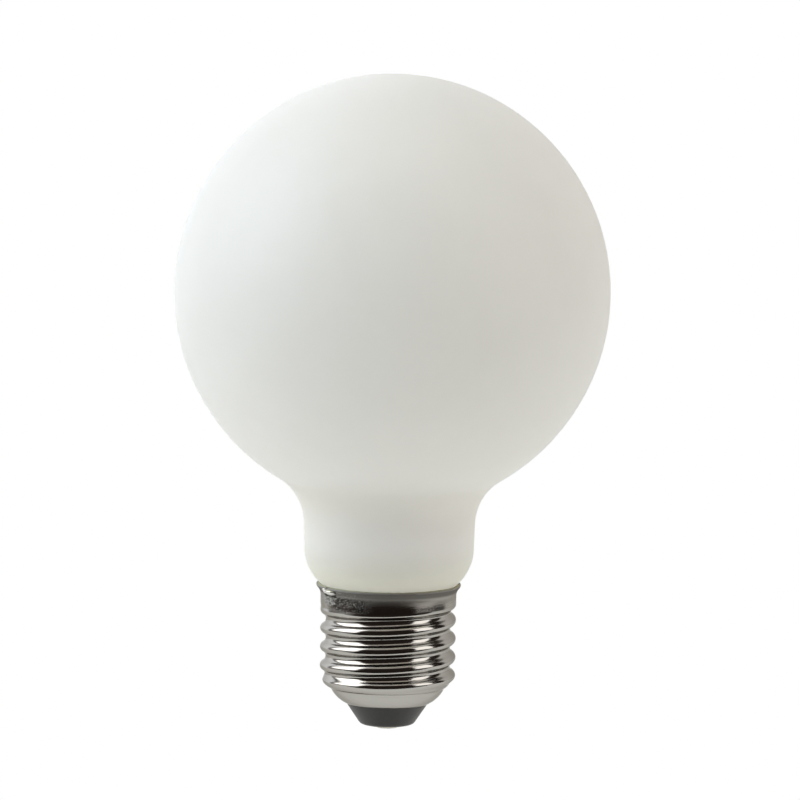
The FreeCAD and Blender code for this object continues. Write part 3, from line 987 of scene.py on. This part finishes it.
def table_top(studio):
    """Paint and a glow on the upper side, plain white to the camera; the under side can't be seen."""
    material, nodes = new_material("pale_floor")
    paint = nodes.add("ShaderNodeBsdfDiffuse", {"Color": (*studio.table_paint, 1.0)})
    glow = nodes.add("ShaderNodeEmission", {"Color": (*studio.glow_tint, 1.0), "Strength": studio.glow})
    white = nodes.add("ShaderNodeEmission", {"Color": WHITE, "Strength": 1.0})
    clear = nodes.add("ShaderNodeBsdfTransparent")
    lit = nodes.add("ShaderNodeAddShader", {0: paint.outputs[0], 1: glow.outputs[0]})
    above = nodes.by_ray("Is Camera Ray", lit.outputs[0], white.outputs[0])
    below = nodes.add("ShaderNodeNewGeometry").outputs["Backfacing"]
    shown = nodes.add("ShaderNodeMixShader", {0: below, 1: above, 2: clear.outputs[0]})
    nodes.add("ShaderNodeOutputMaterial", {"Surface": shown.outputs[0]})
    return material


class LAMP_OT_studio(bpy.types.Operator):
    """Sets the table, the white ground, the light and the camera"""

    bl_idname = "lamp.studio"
    bl_label = "Studio"

    def execute(self, context):
        scene = context.scene
        studio = scene.lamp_studio
        scene.view_settings.view_transform = "Standard"
        self.make_floor(scene, studio)
        self.make_world(scene)
        self.make_camera(scene, studio)
        return {"FINISHED"}

    def make_floor(self, scene, studio):
        """A white table with a straight front edge."""
        bm = bmesh.new()
        bmesh.ops.create_grid(bm, x_segments=1, y_segments=1, size=studio.table_size / 2)
        back = studio.table_size / 2 - studio.table_drop * studio.table_front
        bmesh.ops.translate(bm, verts=bm.verts, vec=(0, back, -studio.table_drop))
        mesh = bpy.data.meshes.new("floor")
        bm.to_mesh(mesh)
        bm.free()
        mesh.materials.append(table_top(studio))
        floor = bpy.data.objects.new("floor", mesh)
        scene.collection.objects.link(floor)

    def make_world(self, scene):
        """A dark room with soft panels round the lamp, and white where the camera looks past the lamp."""
        scene.world = bpy.data.worlds.new("studio")
        nodes = Nodes(scene.world)
        way = nodes.add("ShaderNodeTexCoord").outputs["Generated"]
        parts = nodes.add("ShaderNodeSeparateXYZ", {"Vector": way}).outputs
        azimuth = nodes.math("ARCTAN2", parts["X"], nodes.times(parts["Y"], -1.0))
        elevation = nodes.math("ARCSINE", parts["Z"])
        light = nodes.coated(
            ROOM_LIGHT,
            *[(panel.share(nodes, azimuth, elevation), panel.shown(nodes)) for panel in PANELS.values()],
        )
        room = nodes.add("ShaderNodeBackground", {"Color": light, "Strength": 1.0})
        white = nodes.add("ShaderNodeBackground", {"Color": WHITE, "Strength": 1.0})
        seen = nodes.by_ray("Is Camera Ray", room.outputs[0], white.outputs[0])
        nodes.add("ShaderNodeOutputWorld", {"Surface": seen})

    def make_camera(self, scene, studio):
        data = bpy.data.cameras.new("camera")
        data.sensor_width = SENSOR_MILLIMETRES
        data.lens = studio.focal_pixels * data.sensor_width / PICTURE_PIXELS
        data.shift_x = studio.axis_offset / PICTURE_PIXELS
        data.clip_end = VIEW_DEPTH
        camera = bpy.data.objects.new("camera", data)
        scene.collection.objects.link(camera)
        aim = Vector((0, 0, studio.aim_height))
        rise = studio.camera_height - studio.aim_height
        back = math.sqrt(studio.camera_distance**2 - rise**2)
        camera.location = aim + Vector((0, -back, rise))
        look = (aim - camera.location).to_track_quat("-Z", "Y").to_matrix()
        turned = look @ Matrix.Rotation(studio.camera_roll, 3, "Z")
        camera.rotation_euler = turned.to_euler()
        scene.camera = camera


OPERATORS = (
    LAMP_OT_glass_globe,
    LAMP_OT_basing_cement,
    LAMP_OT_screw_shell,
    LAMP_OT_side_contact,
    LAMP_OT_insulator,
    LAMP_OT_centre_contact,
    LAMP_OT_studio,
)

SETTINGS = {
    "lamp_glass": GlassSizes,
    "lamp_cap": CapSizes,
    "lamp_cement": CementSizes,
    "lamp_foot": FootSizes,
    "lamp_side": SideContactSizes,
    "lamp_studio": StudioSettings,
    "lamp_fineness": MeshFineness,
}


class LAMP_PT_pieces(bpy.types.Panel):
    """Lists the lamp's pieces in the sidebar"""

    bl_label = "Globe lamp"
    bl_idname = "LAMP_PT_pieces"
    bl_space_type = "VIEW_3D"
    bl_region_type = "UI"
    bl_category = "Lamp"

    def draw(self, context):
        for operator in OPERATORS:
            self.layout.operator(operator.bl_idname)


def register():
    for group in SETTINGS.values():
        bpy.utils.register_class(group)
    for name, group in SETTINGS.items():
        setattr(bpy.types.Scene, name, PointerProperty(type=group))
    for cls in (*OPERATORS, LAMP_PT_pieces):
        bpy.utils.register_class(cls)


def unregister():
    for cls in (LAMP_PT_pieces, *reversed(OPERATORS)):
        bpy.utils.unregister_class(cls)
    for name in SETTINGS:
        delattr(bpy.types.Scene, name)
    for group in reversed(SETTINGS.values()):
        bpy.utils.unregister_class(group)


def main():
    register()
    for operator in OPERATORS:
        group, name = operator.bl_idname.split(".")
        getattr(getattr(bpy.ops, group), name)()


if __name__ == "__main__":
    main()
